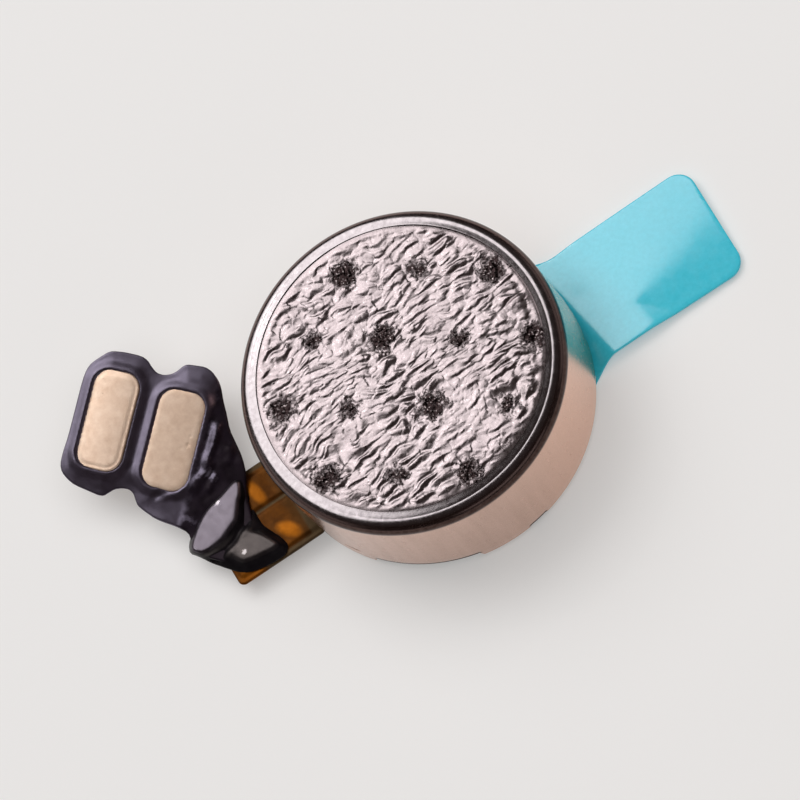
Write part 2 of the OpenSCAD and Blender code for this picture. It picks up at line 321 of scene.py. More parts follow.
def liner_film():
    # glossy cyan release film, even tint, faint mottling in its coating
    p = Paint("liner_film", IOR=2.03)
    mottle = p.noise(9, 4, 0.6)
    p.drive("Base Color", p.ramp(mottle, (0.3, (0.036, 0.575, 0.735)), (0.7, (0.052, 0.64, 0.81))))
    p.drive("Roughness", p.span(p.noise(5, 3), 0.3, 0.7, 0.15, 0.21))
    p.bump(p.noise(16, 4, 0.65), 0.0013)
    return p.mat


def lead_film():
    # black cover film with a soft bluish sheen
    p = Paint("lead_film", IOR=2.65)
    p.drive("Base Color", p.ramp(p.noise(3, 3), (0.3, (0.006, 0.004, 0.006)), (0.7, (0.012, 0.008, 0.013))))
    # painted shade and highlights: the neck's sheen is painted out, and painted back only along listed streaks
    x, v = p.axis("X"), p.math("DIVIDE", p.math("SUBTRACT", p.axis("Y"), 0.6), 0.978)
    s = p.math("ADD", p.plane(x, v, -0.682, 0.731, -6.302), p.span(p.noise(4, 3), 0.3, 0.7, -0.06, 0.06))
    neck_shade = p.span(s, -1.46, -1.66, soft=True)
    ragged = p.span(p.noise(7, 3, 0.6), 0.3, 0.7, -0.06, 0.06)
    streak_highlight = None
    for ax, ay, bx, by, half in ((-4.70, 1.84, -4.95, 1.63, 0.12), (-4.95, 1.63, -5.33, 1.31, 0.12), (-5.42, 1.22, -5.56, 1.10, 0.12),
                                 (-5.40, 0.97, -5.37, 0.82, 0.09), (-5.60, 1.12, -6.14, 0.99, 0.08), (-6.50, 0.42, -6.34, 0.16, 0.06)):
        m = p.span(p.math("ADD", p.segment(x, v, ax, ay, bx, by), ragged), half * 1.6, half * 0.2, soft=True)
        streak_highlight = m if streak_highlight is None else p.math("MAXIMUM", streak_highlight, m)
    streak_highlight = p.math("MULTIPLY", streak_highlight, p.span(p.noise(6, 3), 0.3, 0.6, 0.55, 1.0))
    keep = p.math("SUBTRACT", 1.0, p.math("MULTIPLY", neck_shade, p.math("SUBTRACT", 1.0, streak_highlight)))
    p.drive("Specular Tint", p.blend(keep, (0.055, 0.044, 0.050), (0.85, 0.76, 1.0)))
    p.drive("Roughness", p.span(p.noise(6, 3), 0.3, 0.7, 0.30, 0.40))
    p.bump(p.noise(24, 3, 0.6), 0.0014)
    return p.mat


def gold_plate():
    # satin pale gold, clouded, with a few tiny pits
    p = Paint("gold_plate", Metallic=0.72)
    cloud = p.noise(4.2, 4, 0.6)
    p.drive("Base Color", p.ramp(cloud, (0.3, (0.82, 0.59, 0.435)), (0.7, (0.98, 0.76, 0.595))))
    p.drive("Roughness", p.span(p.noise(9, 3), 0.3, 0.7, 0.36, 0.46))
    pits = p.span(p.spots(5.5), 0.02, 0.09, 0, 1, soft=True)
    p.bump(pits, 0.006, 0.6)
    p.bump(p.noise(40, 3, 0.6), 0.0012)
    return p.mat


def tail_paint(name):
    # amber polyimide: olive-brown where bare, redder over the copper lands, with painted highlights on their swellings
    # and painted shade towards the case
    p = Paint(name, IOR=1.42)
    y, x = p.axis("Y"), p.axis("X")
    edge = p.math("ABSOLUTE", y)
    inner = p.math("MAXIMUM", p.span(edge, 1.15, 1.05, soft=True), p.span(x, -5.30, -5.55, soft=True))
    over = p.math("MULTIPLY", inner, p.span(p.math("ABSOLUTE", p.math("SUBTRACT", y, 0.13)), 0.01, 0.07, soft=True))
    over = p.math("MULTIPLY", over, p.span(x, -4.02, -4.12, soft=True))
    cloud = p.noise(2.6, 3)

    def swell(cx, cy, rx, ry, lean):
        dx = p.math("SUBTRACT", x, cx)
        dy = p.math("SUBTRACT", y, cy)
        u = p.math("DIVIDE", p.math("ADD", dx, p.math("MULTIPLY", dy, lean)), rx)
        v = p.math("DIVIDE", dy, ry)
        q = p.math("SQRT", p.math("ADD", p.math("MULTIPLY", u, u), p.math("MULTIPLY", v, v)))
        return p.span(q, 1.25, 0.45, soft=True)

    # painted highlights: the copper's reflection on each swelling is painted into the colour
    swell_highlight = p.math("MAXIMUM", p.math("MULTIPLY", swell(-4.72, 0.58, 0.17, 0.40, 0.15), 0.82), swell(-4.47, -0.70, 0.24, 0.30, 0.55))
    swell_highlight = p.math("MAXIMUM", swell_highlight, p.math("MULTIPLY", swell(-5.80, -1.10, 0.40, 0.18, 0.0), 0.42))
    bare = p.ramp(cloud, (0.3, (0.038, 0.022, 0.009)), (0.7, (0.072, 0.045, 0.023)))
    rich = p.ramp(cloud, (0.3, (0.060, 0.017, 0.0015)), (0.7, (0.115, 0.034, 0.002)))
    rich = p.blend(swell_highlight, rich, (0.36, 0.108, 0.004))
    # painted shade: the amber is darker towards the case
    rich = p.blend(p.span(x, -4.42, -4.14, 0, 0.75, soft=True), rich, (0.045, 0.018, 0.004))
    p.drive("Base Color", p.blend(over, bare, rich))
    p.drive("Metallic", p.math("MULTIPLY", over, 0.6))
    p.drive("Roughness", p.span(p.noise(7, 2), 0.3, 0.7, 0.34, 0.46))
    p.drive("Specular Tint", (1.0, 0.72, 0.40, 1))
    p.bump(p.noise(14, 3), 0.002)
    return p.mat


def potting():
    # black potting: its sheen is painted out in the hollows as painted shade, and painted onto its two raised faces
    p = Paint("potting", IOR=2.2)
    x, y, z = p.axis("X"), p.axis("Y"), p.axis("Z")
    skin = p.ramp(p.noise(3, 2), (0.3, (0.004, 0.0032, 0.004)), (0.7, (0.009, 0.0075, 0.009)))
    for px, py in NUBS:  # painted highlight: a pale spot on each nub stands in for a glint
        nub_glint = p.span(p.math("ADD", p.segment(x, y, px - 0.02, py - 0.01, px + 0.02, py + 0.01), p.span(p.noise(20, 2), 0.3, 0.7, -0.012, 0.012)), 0.062, 0.018, soft=True)
        skin = p.blend(nub_glint, skin, (0.78, 0.74, 0.76))
    p.drive("Base Color", skin)
    leaf = p.span(p.math("SUBTRACT", z, p.plane(x, y, 0.045, -0.075, 0.845 + 0.045 * 5.9 + 0.075 * 0.4)), -0.075, -0.012, soft=True)
    leaf = p.math("MULTIPLY", leaf, p.span(y, -0.35, 0.15, 0.80, 1.0))
    blob = p.span(p.math("SUBTRACT", z, p.plane(x, y, 0.03, -0.03, 0.785 + 0.03 * 5.4 - 0.03 * 0.6)), -0.07, -0.012, soft=True)
    blob = p.math("MULTIPLY", blob, p.span(y, -0.02, -0.28, soft=True))
    # painted shade and sheen: the reflection is kept on the two raised faces and painted out elsewhere
    painted_sheen = p.blend(blob, (0.035, 0.030, 0.032), (0.50, 0.43, 0.41))
    p.drive("Specular Tint", p.blend(leaf, painted_sheen, (0.97, 0.85, 1.0)))
    rough = p.span(p.noise(5, 2), 0.3, 0.7, 0.29, 0.37)
    for px, py in NUBS:
        spot = p.span(p.segment(x, y, px - 0.01, py, px + 0.01, py), 0.10, 0.05, soft=True)
        rough = p.math("SUBTRACT", rough, p.math("MULTIPLY", spot, 0.22))
    p.drive("Roughness", rough)
    p.bump(p.noise(9, 3), 0.0015)
    return p.mat


def bracket_steel():
    # pressed plate; its outer edge is painted dark as shadow in the gap just under the case's edge
    p = Paint("bracket_steel", Metallic=1.0)
    skin = p.ramp(p.noise(2.5, 3), (0.3, (0.40, 0.37, 0.35)), (0.7, (0.54, 0.51, 0.49)))
    out = p.span(p.math("SQRT", p.math("ADD", p.math("POWER", p.axis("X"), 2.0), p.math("POWER", p.axis("Y"), 2.0))), 3.60, 3.70)
    # painted shadow: dark band under the case's edge
    dark = p.math("MULTIPLY", out, p.span(p.axis("Z"), 0.30, 0.34, soft=True))
    p.drive("Base Color", p.blend(dark, skin, (0.035, 0.022, 0.016)))
    p.drive("Roughness", p.span(p.noise(10, 2), 0.3, 0.7, 0.28, 0.40))
    p.bump(p.noise(30, 2), 0.0006)
    return p.mat


PAINT = {
    "case_steel": case_steel(),
    "foil": foil_metal(),
    "liner_film": liner_film(),
    "lead_film": lead_film(),
    "gold_plate": gold_plate(),
    "amber_film": tail_paint("amber_film"),
    "potting": potting(),
    "bracket_steel": bracket_steel(),
    "shaft_steel": metal("shaft_steel", (0.62, 0.62, 0.64), (0.72, 0.72, 0.74), 0.16, 6),
    "washer_film": plastic("washer_film", (0.74, 0.66, 0.40), (0.84, 0.77, 0.52), 0.42, 5),
    "magnet": metal("magnet", (0.16, 0.16, 0.175), (0.26, 0.26, 0.28), 0.38, 4, spread=0.1),
    "copper": metal("copper", (0.62, 0.28, 0.14), (0.80, 0.42, 0.24), 0.30, 4),
    "brush_alloy": metal("brush_alloy", (0.74, 0.54, 0.20), (0.84, 0.64, 0.30), 0.26, 6),
    "adhesive": plastic("adhesive", (0.60, 0.60, 0.57), (0.76, 0.76, 0.72), 0.5, 5, depth=0.002),
    "solder": metal("solder", (0.50, 0.51, 0.53), (0.66, 0.67, 0.69), 0.27, 5),
    "bearing_bronze": metal("bearing_bronze", (0.46, 0.30, 0.12), (0.62, 0.43, 0.2), 0.42, 9, depth=0.002),
    "board": plastic("board", (0.015, 0.085, 0.035), (0.03, 0.14, 0.06), 0.4, 4),
    "tungsten": metal("tungsten", (0.22, 0.22, 0.235), (0.34, 0.34, 0.355), 0.42, 8, depth=0.002),
    "mould_resin": plastic("mould_resin", (0.012, 0.012, 0.014), (0.03, 0.03, 0.034), 0.48, 6, depth=0.002),
    "stiffener": plastic("stiffener", (0.16, 0.075, 0.018), (0.27, 0.135, 0.035), 0.36, 3),
}


def winding():
    # enamelled wire wound in rings round each coil's own axis
    p = Paint("winding", Metallic=0.85)
    turns = None
    for side in (-1, 1):
        a = math.radians(90 + 60 * side)
        dx = p.math("SUBTRACT", p.axis("X"), 2.3 * math.cos(a))
        dy = p.math("SUBTRACT", p.axis("Y"), 2.3 * math.sin(a))
        r = p.math("SQRT", p.math("ADD", p.math("MULTIPLY", dx, dx), p.math("MULTIPLY", dy, dy)))
        turns = r if turns is None else p.math("MINIMUM", turns, r)
    wave = p.math("SINE", p.math("MULTIPLY", turns, 2 * math.pi / 0.06))
    wave = p.span(wave, -1, 1)
    stack = p.span(p.math("SINE", p.math("MULTIPLY", p.axis("Z"), 2 * math.pi / 0.06)), -1, 1)
    both = p.math("MULTIPLY", p.math("ADD", wave, stack), 0.5)
    # painted shade: darker down in the grooves between turns
    p.drive("Base Color", p.ramp(both, (0.1, (0.16, 0.05, 0.015)), (0.8, (0.72, 0.30, 0.11))))
    p.drive("Roughness", p.span(p.noise(8, 2), 0.3, 0.7, 0.24, 0.34))
    p.bump(both, 0.02)
    return p.mat


PAINT["winding"] = winding()


# --------------------------------------------------------------- meshes --
def make(name, verts, faces, paint, sharp=None):
    """A mesh piece from points in millimetres."""
    me = bpy.data.meshes.new(name)
    me.from_pydata([tuple(v) for v in (np.asarray(verts, float) * MM).tolist()], [], faces)
    me.validate()
    me.polygons.foreach_set("use_smooth", [True] * len(me.polygons))
    if sharp is not None:
        me.set_sharp_from_angle(angle=math.radians(sharp))
    me.update()
    ob = bpy.data.objects.new(name, me)
    SCENE.collection.objects.link(ob)
    me.materials.append(PAINT[paint])
    return ob


def fix_normals(ob):
    import bmesh

    bm = bmesh.new()
    bm.from_mesh(ob.data)
    bmesh.ops.recalc_face_normals(bm, faces=bm.faces)
    bm.to_mesh(ob.data)
    bm.free()
    return ob


def resample(points, step, closed=True):
    pts = np.asarray(points, float)
    nxt = np.roll(pts, -1, 0) if closed else pts[1:]
    src = pts if closed else pts[:-1]
    out = []
    for a, b in zip(src, nxt):
        n = max(1, int(round(np.hypot(*(b - a)) / step)))
        for k in range(n):
            out.append(a + (b - a) * k / n)
    if not closed:
        out.append(pts[-1])
    return np.array(out)


def round_loop(points, passes=2):
    """Corner cutting: rounds a given outline without moving it far."""
    p = np.asarray(points, float)
    for _ in range(passes):
        q = np.roll(p, -1, 0)
        p = np.stack([0.78 * p + 0.22 * q, 0.22 * p + 0.78 * q], 1).reshape(-1, 2)
    return p


def to_loop(x, y, loop):
    """Distance to a closed outline, and whether a point is inside it."""
    a = np.asarray(loop, float)
    b = np.roll(a, -1, 0)
    best = np.full(x.shape, 1e9)
    inside = np.zeros(x.shape, bool)
    for (ax, ay), (bx, by) in zip(a, b):
        dx, dy = bx - ax, by - ay
        l2 = dx * dx + dy * dy + 1e-18
        t = np.clip(((x - ax) * dx + (y - ay) * dy) / l2, 0, 1)
        best = np.minimum(best, np.hypot(x - ax - t * dx, y - ay - t * dy))
        if ay != by:
            cross = ((ay > y) != (by > y)) & (x < ax + (y - ay) * dx / (by - ay))
            inside ^= cross
    return best, inside


def signed(x, y, loop):
    d, inside = to_loop(x, y, loop)
    return np.where(inside, d, -d)


def to_line(x, y, line):
    """Distance to an open line, with how far along it (0 to 1) and on which side."""
    a = np.asarray(line, float)
    best = np.full(x.shape, 1e9)
    along = np.zeros(x.shape)
    side = np.zeros(x.shape)
    n = len(a) - 1
    for k in range(n):
        (ax, ay), (bx, by) = a[k], a[k + 1]
        dx, dy = bx - ax, by - ay
        l2 = dx * dx + dy * dy
        t = np.clip(((x - ax) * dx + (y - ay) * dy) / l2, 0, 1)
        d = np.hypot(x - ax - t * dx, y - ay - t * dy)
        m = d < best
        best = np.where(m, d, best)
        along = np.where(m, (k + t) / n, along)
        side = np.where(m, np.sign(dx * (y - ay) - dy * (x - ax)), side)
    return best, along, side


def film(name, loop, step, edge, top, bottom, place, paint, holes=(), rings=(0.12, 0.35, 0.65, 1.0), fine=None):
    """A closed thin piece. top(x, y) and bottom(x, y) give its faces; both close on their
    middle along the outline, rounded over the width edge. place() maps (x, y, z) to space."""
    loops = [resample(loop, step)] + [resample(h, step) for h in holes]
    x0, y0 = loops[0].min(0)
    x1, y1 = loops[0].max(0)
    pts = []
    for k, lp in enumerate(loops):
        area = 0.5 * np.sum(lp[:, 0] * np.roll(lp[:, 1], -1) - np.roll(lp[:, 0], -1) * lp[:, 1])
        t = np.roll(lp, -1, 0) - np.roll(lp, 1, 0)
        t /= np.hypot(t[:, 0], t[:, 1])[:, None] + 1e-12
        n = np.stack([-t[:, 1], t[:, 0]], 1) * (1 if area > 0 else -1) * (1 if k == 0 else -1)
        for r in rings:
            q = lp + n * edge * r
            d = np.full(len(q), 1e9)
            ok = np.ones(len(q), bool)
            for j, other in enumerate(loops):
                dj, inj = to_loop(q[:, 0], q[:, 1], other)
                d = np.minimum(d, dj)
                ok &= inj if j == 0 else ~inj
            pts.append(q[ok & (d > 0.93 * edge * r)])
    gx, gy = np.meshgrid(np.arange(x0, x1, step), np.arange(y0, y1, step * 0.866))
    gx = gx + (np.arange(gx.shape[0]) % 2)[:, None] * step / 2
    g = np.stack([gx.ravel(), gy.ravel()], 1)
    if fine is not None:
        fx0, fy0, fx1, fy1, fs = fine
        hx, hy = np.meshgrid(np.arange(fx0, fx1, fs), np.arange(fy0, fy1, fs * 0.866))
        hx = hx + (np.arange(hx.shape[0]) % 2)[:, None] * fs / 2
        keep = ~((g[:, 0] > fx0) & (g[:, 0] < fx1) & (g[:, 1] > fy0) & (g[:, 1] < fy1))
        g = np.concatenate([g[keep], np.stack([hx.ravel(), hy.ravel()], 1)])
    d = np.full(len(g), 1e9)
    ok = np.ones(len(g), bool)
    for j, other in enumerate(loops):
        dj, inj = to_loop(g[:, 0], g[:, 1], other)
        d = np.minimum(d, dj)
        ok &= inj if j == 0 else ~inj
    pts.append(g[ok & (d > edge + 0.3 * step)])
    every = np.concatenate(loops + pts)
    borders, at = [], 0
    for lp in loops:
        m = len(lp)
        borders += [(at + k, at + (k + 1) % m) for k in range(m)]
        at += m
    co, _, faces, *_ = delaunay_2d_cdt([Vector(p) for p in every.tolist()], borders, [], 0, 1e-7)
    co = np.array([tuple(c) for c in co])
    tri = np.array([f for f in faces if len(f) == 3])
    mid = co[tri].mean(1)
    keep = np.ones(len(tri), bool)
    for j, other in enumerate(loops):
        _, inj = to_loop(mid[:, 0], mid[:, 1], other)
        keep &= inj if j == 0 else ~inj
    tri = tri[keep]
    used = np.unique(tri)
    back = np.full(len(co), -1)
    back[used] = np.arange(len(used))
    co, tri = co[used], back[tri]
    a, b, c = co[tri[:, 0]], co[tri[:, 1]], co[tri[:, 2]]
    turn = (b[:, 0] - a[:, 0]) * (c[:, 1] - a[:, 1]) - (b[:, 1] - a[:, 1]) * (c[:, 0] - a[:, 0])
    tri[turn < 0] = tri[turn < 0][:, ::-1]
    x, y = co[:, 0], co[:, 1]
    d = np.full(len(co), 1e9)
    for other in loops:
        d = np.minimum(d, to_loop(x, y, other)[0])
    # open edges of the triangulation close the two faces on each other
    count = {}
    for t in tri:
        for e in ((t[0], t[1]), (t[1], t[2]), (t[2], t[0])):
            key = (min(e), max(e))
            count[key] = count.get(key, 0) + 1
    rim = np.zeros(len(co), bool)
    for (i, j), n in count.items():
        if n == 1:
            rim[i] = rim[j] = True
    d[rim] = 0
    t = np.clip(d / edge, 0, 1)
    bulge = np.sqrt(np.clip(1 - (1 - t) ** 2, 0, 1))
    zt, zb = top(x, y), bottom(x, y)
    m = (zt + zb) / 2
    zt2, zb2 = m + (zt - m) * bulge, m + (zb - m) * bulge
    up = place(x, y, zt2)
    down = place(x, y, zb2)
    n = len(co)
    low = np.arange(n) + n
    low[rim] = np.arange(n)[rim]
    verts = np.concatenate([up, down])
    faces = tri.tolist() + low[tri[:, ::-1]].tolist()
    used = np.unique(np.array(faces))
    back = np.full(len(verts), -1)
    back[used] = np.arange(len(used))
    return make(name, verts[used], back[np.array(faces)].tolist(), paint)


def circle_loop(r, n=200, cx=0.0, cy=0.0):
    a = np.linspace(0, 2 * math.pi, n, endpoint=False)
    return np.stack([cx + r * np.cos(a), cy + r * np.sin(a)], 1)


def rect_loop(x0, y0, x1, y1, r, n=8):
    out = []
    for cx, cy, a0 in ((x1 - r, y1 - r, 0), (x0 + r, y1 - r, 90), (x0 + r, y0 + r, 180), (x1 - r, y0 + r, 270)):
        for k in range(n + 1):
            a = math.radians(a0 + 90 * k / n)
            out.append((cx + r * math.cos(a), cy + r * math.sin(a)))
    return np.array(out)


flat = lambda x, y, z: np.stack([x, y, z], 1)
flat_case = lambda x, y, z: np.stack([x, y, z + LIFT], 1)


# ------------------------------------------------------------ case shell --
def case_shell():
    cuts = [(161.5, 198.5, 0.52, 0.9), (219.0, 257.0, 0.2, 0.7), (99.5, 140.5, 0.2, 0.7),
            (-12.0, 12.0, 0.2, 0.7), (276.0, 283.5, 0.05, 0.8)]
    angles = set(np.round(np.arange(0, 360, 0.9), 3))
    for a0, a1, _, w in cuts:
        for edge in (a0, a1):
            for k in np.linspace(-w, w, 9):
                angles.add(round((edge + k) % 360, 3))
    for mark in (148.7, 211.3):
        for k in np.linspace(-3.6, 3.6, 19):
            angles.add(round((mark + k) % 360, 3))
    th = np.array(sorted(angles))
    zb = np.zeros(len(th))
    for a0, a1, h, w in cuts:
        mid, half = (a0 + a1) / 2, (a1 - a0) / 2
        off = np.abs((th - mid + 180) % 360 - 180)
        zb = np.maximum(zb, h * (1 - smooth(half - w, half + w, off)))
    rows = []  # each row: r(theta), z(theta)
    one = np.ones(len(th))
    top_z = 2.675
    # inside wall bottom, round the open edge, up the outside
    for r, dz in ((3.802, 0.035), (3.81, 0.012), (3.83, 0.0), (3.95, 0.0), (3.978, 0.006), (3.994, 0.02)):
        rows.append((r * one, zb + dz))
    levels = [0.04, 0.08, 0.14, 0.22, 0.30, 0.38, 0.42, 0.445, 0.46, 0.475, 0.49, 0.505, 0.52, 0.535, 0.56, 0.60,
              0.68, 0.80, 0.95, 1.1, 1.3, 1.5, 1.7, 1.9, 2.1, 2.3, 2.45, 2.58, 2.64, top_z]
    tt = np.radians(th)
    for lv in levels:
        z = zb + (top_z - zb) * lv / top_z
        r = 4.0 * one
        # slight unevenness left by drawing
        r = r + 0.0022 * value_noise(th / 24.0, one * lv * 0.8, 71) * smooth(0.1, 0.5, lv) * smooth(2.675, 2.3, lv)
        # foot of the wall turns in a little
        r = r - 0.012 * smooth(0.22, 0.0, z - zb)
        for mark in (148.7, 211.3):
            off = np.abs((th - mark + 180) % 360 - 180)
            r = r - 0.055 * smooth(3.2, 2.5, off) * np.exp(-(((z - 0.495) / 0.032) ** 2))
        rows.append((r, z))
    for a in np.linspace(0, 90, 27)[1:]:
        rows.append(((3.71 + 0.29 * math.cos(math.radians(a))) * one, (top_z + 0.29 * math.sin(math.radians(a))) * one))
    # crest, annulus rising inward, groove round the foil; the recess sits a little off centre, as the foil does
    lean = np.interp(th, (0, 30, 60, 120, 180, 210, 240, 255, 270, 300, 330, 360),
                     (1.25, 1.15, 0.9, 1.0, 1.0, 0.75, 0.72, 0.95, 1.3, 1.4, 1.35, 1.25))
    for r, z in ((3.704, 2.9650), (3.698, 2.9651), (3.692, 2.9655), (3.684, 2.9664), (3.672, 2.9682), (3.655, 2.9709),
                 (3.630, 2.9748), (3.605, 2.9788), (3.585, 2.9820), (3.565, 2.9850), (3.564, 2.955),
                 (3.563, 2.905), (3.550, 2.900), (3.40, 2.90), (2.0, 2.90), (0.40, 2.90),
                 (0.365, 2.895), (0.36, 2.88), (0.36, 2.76), (0.365, 2.745), (0.40, 2.74), (2.0, 2.74), (3.60, 2.74)):
        off = 0.032 * smooth(3.66, 3.57, r) * smooth(2.8, 2.95, z) * smooth(3.2, 3.5, r)
        lift = (z - 2.965) * (lean - 1) * (1.0 if 2.966 < z < 2.99 and r > 3.5645 else 0.0)
        rows.append((r + off * np.cos(tt - math.radians(75)) - off * 0.5, z * one + lift))
    for a in np.linspace(90, 0, 9)[1:]:
        rows.append(((3.60 + 0.2 * math.cos(math.radians(a))) * one, (2.54 + 0.2 * math.sin(math.radians(a))) * one))
    for lv in (2.2, 1.6, 1.0, 0.6, 0.3, 0.12):
        rows.append((3.80 * one, zb + 0.035 + (2.54 - zb - 0.035) * lv / 2.54))
    verts = []
    for r, z in rows:
        verts.append(np.stack([r * np.cos(tt), r * np.sin(tt), z + LIFT], 1))
    m, n = len(rows), len(th)
    verts = np.concatenate(verts)
    faces = []
    for i in range(m):
        i2 = (i + 1) % m
        for j in range(n):
            j2 = (j + 1) % n
            faces.append((i * n + j, i * n + j2, i2 * n + j2, i2 * n + j))
    ob = fix_normals(make("case_shell", verts, faces, "case_steel", sharp=50))
    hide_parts("case_cover")
    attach(ob, "motor")
    return ob


# ------------------------------------------------------------------ foil --
def foil_height(x, y):
    """Height of the crumpled foil over its mean face, in mm: long narrow creases that run
    roughly along X, flat faces between them, and two sizes of rough pressed dot."""
    r = np.hypot(x, y)
    # creases wander, and turn a little from place to place
    bend = 0.30 * fbm(x * 0.5 + 3, y * 0.6 - 2, 11, 2)
    u = x + 0.22 * fbm(x * 1.1, y * 1.6, 21, 2)
    v = y + bend + 0.10 * fbm(x * 1.7, y * 2.0, 31, 2) + 0.035 * fbm(x * 5, y * 6, 35, 2)
    f1, f2, ox, oy, ra, rb = cells(u / 0.70, v / 0.27, 5)
    edge = f2 - f1
    face = smooth(0.0, 0.78, edge)
    deep = 0.65 + 0.45 * value_noise(x * 0.9, y * 0.9, 15)
    tilt = 0.055 * ra * ox * 0.70 + 0.12 * rb * oy * 0.27
    h = 0.0365 * deep * (face - 1) + tilt * face
    # a second, smaller set cuts the faces up
    g1, g2, px, py, qa, qb = cells(u / 0.24 + 40, v / 0.13 + 11, 8)
    h += 0.0032 * (smooth(0.0, 0.45, g2 - g1) - 1) + 0.075 * qb * py * 0.13 + 0.05 * qa * px * 0.24
    # long rolls
    roll = np.sin(2 * math.pi * (v / 0.33 + 0.45 * fbm(x * 1.3, y * 1.7, 51, 2)))
    h += 0.0060 * roll * (0.55 + 0.45 * value_noise(x * 1.2, y * 1.2, 57))
    # grain
    h += 0.0007 * fbm(x * 14, y * 20, 61, 2)
    # dots
    for k, (dx, dy, big) in enumerate(DOTS):
        size = 0.25 + 0.115 * big
        q = np.hypot(x - dx, y - dy)
        ang = np.arctan2(y - dy, x - dx)
        ragged = size * (1 + 0.16 * np.sin(3 * ang + k) + 0.10 * np.sin(7 * ang + 2 * k)) + 0.03 * value_noise(x * 9, y * 9, 91)
        inside = smooth(ragged + 0.07, ragged - 0.07, q)
        rough = 0.013 * value_noise(x * 12.5, y * 12.5, 101) + 0.010 * value_noise(x * 22, y * 22, 103)
        h = h * (1 - 0.8 * inside) + inside * (rough - 0.014)
        # the foil is drawn down towards each dot
        h -= 0.022 * np.exp(-((q / (size * 1.4)) ** 2)) * (1 + 0.6 * value_noise(x * 4, y * 4, 107))
    h *= smooth(3.50, 3.30, r)
    # the margin rolls down into the groove, from further in on one side
    az = np.arctan2(y, x)
    start = 3.36 - 0.15 * smooth(-0.25, 0.9, np.cos(az - math.radians(-38))) + 0.035 * value_noise(az * 4.2, 0 * az + 3.3, 121)
    t = np.clip(r - start, 0, 1)
    h -= 0.235 * (np.sqrt(t * t + 0.05**2) - 0.05)
    return h


def foil_disc():
    n = 316
    a = np.linspace(-1, 1, n)
    X, Y = np.meshgrid(a, a, indexing="ij")
    # square grid bent to a disc with even cells
    big = np.maximum(np.abs(X), np.abs(Y))
    with np.errstate(divide="ignore", invalid="ignore"):
        phi = np.where(np.abs(X) >= np.abs(Y), (math.pi / 4) * (Y / X), math.pi / 2 - (math.pi / 4) * (X / Y))
    phi = np.where(big == 0, 0, phi)
    rad = np.where(np.abs(X) >= np.abs(Y), X, Y)
    R = 3.538
    x, y = (R * rad * np.cos(phi)).ravel(), (R * rad * np.sin(phi)).ravel()
    z = 2.990 + LIFT + foil_height(x, y)
    x, y = x + 0.008, y + 0.030
    idx = np.arange(n * n).reshape(n, n)
    quads = np.stack([idx[:-1, :-1], idx[1:, :-1], idx[1:, 1:], idx[:-1, 1:]], -1).reshape(-1, 4)
    verts = np.stack([x, y, z], 1)
    ring = np.concatenate([idx[:-1, 0], idx[-1, :-1], idx[:0:-1, -1], idx[0, :0:-1]])
    m = len(ring)
    base = len(verts)
    low = verts[ring].copy()
    low[:, 2] = 2.902 + LIFT
    centre = np.array([[0, 0, 2.902 + LIFT]])
    verts = np.concatenate([verts, low, centre])
    faces = quads.tolist()
    for k in range(m):
        k2 = (k + 1) % m
        faces.append((int(ring[k2]), int(ring[k]), base + k, base + k2))
        faces.append((base + k2, base + k, base + m))
    ob = fix_normals(make("foil_disc", verts, faces, "foil", sharp=60))
    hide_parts("crown_foil")
    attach(ob, "motor")
    return ob


# ------------------------------------------------------- liner, pull tab --
def liner():
    out = []
    # disc under the case
    for a in np.linspace(math.radians(43.2), math.radians(316.8), 150):
        out.append((3.70 * math.cos(a), 3.70 * math.sin(a)))

    def flare(t):
        h00, h10, h01 = 2 * t**3 - 3 * t**2 + 1, t**3 - 2 * t**2 + t, -2 * t**3 + 3 * t**2
        return 2.70 + 1.70 * t, h00 * 2.53 + h10 * 1.70 * (-1.067) + h01 * 1.5

    side = [flare(t) for t in np.linspace(0, 1, 18)[1:]]
    for px, py in side:
        out.append((px, -py))
    corner = 0.47
    for k in range(10):
        a = math.radians(-90 + 90 * k / 9)
        out.append((8.08 - corner + corner * math.cos(a), -1.5 + corner + corner * math.sin(a)))
    for k in range(10):
        a = math.radians(90 * k / 9)
        out.append((8.13 - corner + corner * math.cos(a), 1.53 - corner + corner * math.sin(a)))
    for px, py in reversed(side):
        out.append((px, py))
    out = np.array(out)

    def lie(x, y):
        # the tab springs up a little past the case and lies down again at its far corner
        t = np.clip((x - 4.0) / 4.0, 0, 1)
        # it turns up sharply as it leaves the case, then climbs gently
        end = 4.06 - 0.16 * np.clip(y, -1.6, 1.5)
        more = np.clip((0.3 - y) / 1.8, 0, 1)
        k = (x - end) / (0.30 + 0.32 * more) + 1
        first = 0.12 + 0.11 * more
        rise = first * 0.5 * (smooth(0, 1, k) + np.clip(k, 0, 1)) + (0.235 - first) * smooth(0, 1.25, x - end)
        near = 0.17 * (x - 5.40)
        far = 0.158 * (x - 5.35) - 0.987 * (y + 0.70)
        w = 0.03 + 0.42 * np.clip(x - 5.4, 0, 3)
        far = 0.125 * (far + np.sqrt(far**2 + w**2)) / 2
        near = (near + np.sqrt(near**2 + 0.012**2)) / 2
        drop = (near * far) / (near + far + 1e-9) * 1.0
        drop = np.minimum(near, far) * 0.8 + 0.2 * drop
        z = rise - drop
        return np.maximum(z, 0.0) + 0.004 * fbm(x * 0.9, y * 0.9, 301, 2) * smooth(0.02, 0.2, t)

    ob = film("liner_and_tab", out, 0.09, 0.045,
              lambda x, y: 0.08 + lie(x, y), lambda x, y: lie(x, y), flat, "liner_film")
    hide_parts("release_liner", "pull_tab")
    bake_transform(ob)
    return ob


